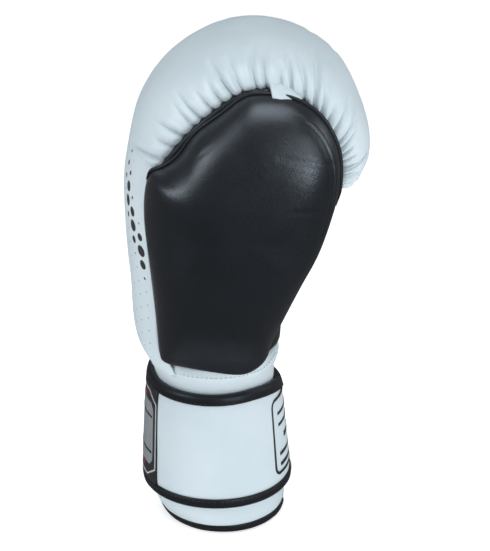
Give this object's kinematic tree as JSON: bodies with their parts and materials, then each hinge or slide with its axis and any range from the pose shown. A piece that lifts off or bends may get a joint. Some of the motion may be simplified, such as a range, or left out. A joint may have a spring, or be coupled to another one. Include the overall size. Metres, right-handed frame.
{
  "type": "boxing glove",
  "caption": "Left-hand boxing glove with padded knuckles, a padded thumb and a wide hook-and-loop wrist strap.",
  "frame": {"origin": "the middle of the wrist opening, on the strap's axis, in the plane of the cuff's hem", "axes": "+Z from the wrist to the knuckles, -Y the thumb side, -X the back of the hand, +X the palm"},
  "size_m": [0.1522, 0.1647, 0.3174],
  "materials": {
    "white_leather": "satin",
    "black_leather": "satin",
    "black_binding": "satin",
    "black_fabric": "matte",
    "foam": "matte",
    "grip_foam": "matte",
    "lining_cloth": "matte",
    "silver_patch": "satin",
    "label_black": "satin"
  },
  "bodies": {
    "glove": {"back_foam": "foam", "back_shell": "white_leather", "cuff_foam": "foam", "cuff_lining": "lining_cloth", "cuff_shell": "white_leather", "finger_foam": "foam", "finger_pad": "foam", "finger_panel": "black_leather", "finger_seam_piping": "black_leather", "grip_bar": "grip_foam", "hand_lining": "lining_cloth", "hem_binding": "black_binding", "knuckle_foam": "foam", "loop_fastener": "black_fabric", "palm_foam": "foam", "palm_leather": "black_leather", "side_foam": "foam", "side_panel": "black_leather", "slit_edge_strips": "white_leather", "slit_tongue": "black_fabric", "strap_root_high_binding": "black_binding", "strap_root_leather": "white_leather", "strap_root_low_binding": "black_binding", "thumb_lock_tab": "white_leather", "thumb_recess_liner": "black_leather", "thumb_sleeve": "lining_cloth", "wrist_band": "white_leather"},
    "thumb": {"thumb_foam": "foam", "thumb_lining": "lining_cloth", "thumb_piping": "black_leather", "thumb_shell": "black_leather"},
    "strap_palm": {"strap_label": "label_black", "strap_palm_high_binding": "black_binding", "strap_palm_leather": "white_leather", "strap_palm_low_binding": "black_binding"},
    "strap_side": {"strap_side_high_binding": "black_binding", "strap_side_leather": "white_leather", "strap_side_low_binding": "black_binding"},
    "strap_end": {"closure_patch": "silver_patch", "hook_fastener": "black_fabric", "strap_end_high_binding": "black_binding", "strap_end_leather": "white_leather", "strap_end_low_binding": "black_binding"}
  },
  "joints": [
    {"name": "thumb_swing", "type": "hinge", "parent": "glove", "child": "thumb", "pos_m": [0, -0.048, 0.138], "axis": [1, 0, 0], "range_deg": [0, 5]},
    {"name": "strap_root_bend", "type": "hinge", "parent": "glove", "child": "strap_palm", "pos_m": [0.04059, 0.02905, 0.06], "axis": [0, 0, 1], "range_deg": [0, 56]},
    {"name": "strap_side_bend", "type": "hinge", "parent": "strap_palm", "child": "strap_side", "pos_m": [0.03294, -0.04033, 0.06], "axis": [0, 0, 1], "range_deg": [0, 64]},
    {"name": "strap_peel", "type": "hinge", "parent": "strap_side", "child": "strap_end", "pos_m": [-0.03348, -0.0417, 0.06], "axis": [0, 0, 1], "range_deg": [0, 80]}
  ],
  "couplings": [
    {"joint": "strap_side_bend", "follows": "strap_peel", "ratio": 0.8},
    {"joint": "strap_root_bend", "follows": "strap_peel", "ratio": 0.7}
  ]
}
